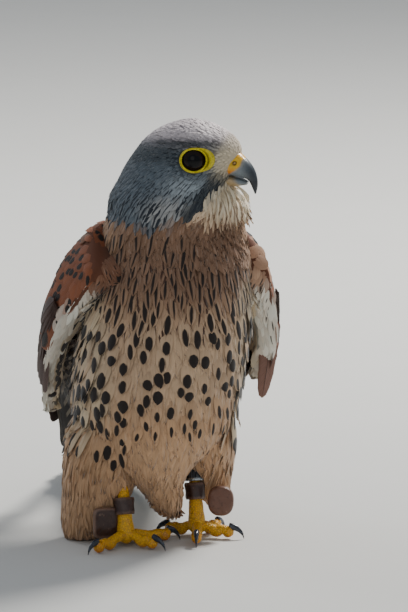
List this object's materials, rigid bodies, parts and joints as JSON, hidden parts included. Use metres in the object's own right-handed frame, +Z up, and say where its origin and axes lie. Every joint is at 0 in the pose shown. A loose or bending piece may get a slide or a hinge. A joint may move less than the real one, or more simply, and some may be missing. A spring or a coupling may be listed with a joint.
{
  "type": "common kestrel, adult male, standing",
  "caption": "Life-size still model of a small falcon standing upright with its head turned to its left, wearing plain leather anklets and a plain leg ring.",
  "frame": {"origin": "floor level, at the middle of the model's extent in x and y", "axes": "+Z up, the breast faces -Y, the bird's left side is +X, the tail runs back to +Y along the floor"},
  "size_m": [0.1072, 0.2288, 0.1894],
  "materials": {
    "belly_feathers": "matt buff feathers with dark drop-shaped marks",
    "hood_feathers": "matt blue-grey feathers with fine dark shafts",
    "mantle_feathers": "matt chestnut feathers with black spots",
    "flight_feathers": "satin dark brown vanes",
    "tail_feathers": "satin blue-grey vanes with a black band and a white tip",
    "thigh_feathers": "soft plain ochre-buff feathers",
    "bare_skin": "satin yellow scaled skin",
    "horn": "glossy blue-black horn",
    "eye": "wet gloss, near-black brown",
    "anklet_leather": "waxed brown leather with pale cut edges",
    "ring_metal": "dull grey fluted metal with a bright rim"
  },
  "bodies": {
    "root": {"alula_left": "flight_feathers", "alula_right": "flight_feathers", "anklet_left": "anklet_leather", "anklet_right": "anklet_leather", "anklet_tab_left": "anklet_leather", "anklet_tab_right": "anklet_leather", "cere": "bare_skin", "claw_1_left": "horn", "claw_1_right": "horn", "claw_2_left": "horn", "claw_2_right": "horn", "claw_3_left": "horn", "claw_3_right": "horn", "claw_4_left": "horn", "claw_4_right": "horn", "eye_left": "eye", "eye_right": "eye", "eyelid_left": "bare_skin", "eyelid_right": "bare_skin", "head": "hood_feathers", "leg_ring_left": "ring_metal", "lower_bill": "horn", "neck": "hood_feathers", "primaries_left": "flight_feathers", "primaries_right": "flight_feathers", "secondaries_left": "mantle_feathers", "secondaries_right": "mantle_feathers", "tail_coverts": "hood_feathers", "tail_feathers": "tail_feathers", "tarsus_left": "bare_skin", "tarsus_right": "bare_skin", "thigh_left": "thigh_feathers", "thigh_right": "thigh_feathers", "toe_1_left": "bare_skin", "toe_1_right": "bare_skin", "toe_2_left": "bare_skin", "toe_2_right": "bare_skin", "toe_3_left": "bare_skin", "toe_3_right": "bare_skin", "toe_4_left": "bare_skin", "toe_4_right": "bare_skin", "torso": "belly_feathers", "upper_bill": "horn", "wing_left": "mantle_feathers", "wing_right": "mantle_feathers"}
  },
  "joints": []
}
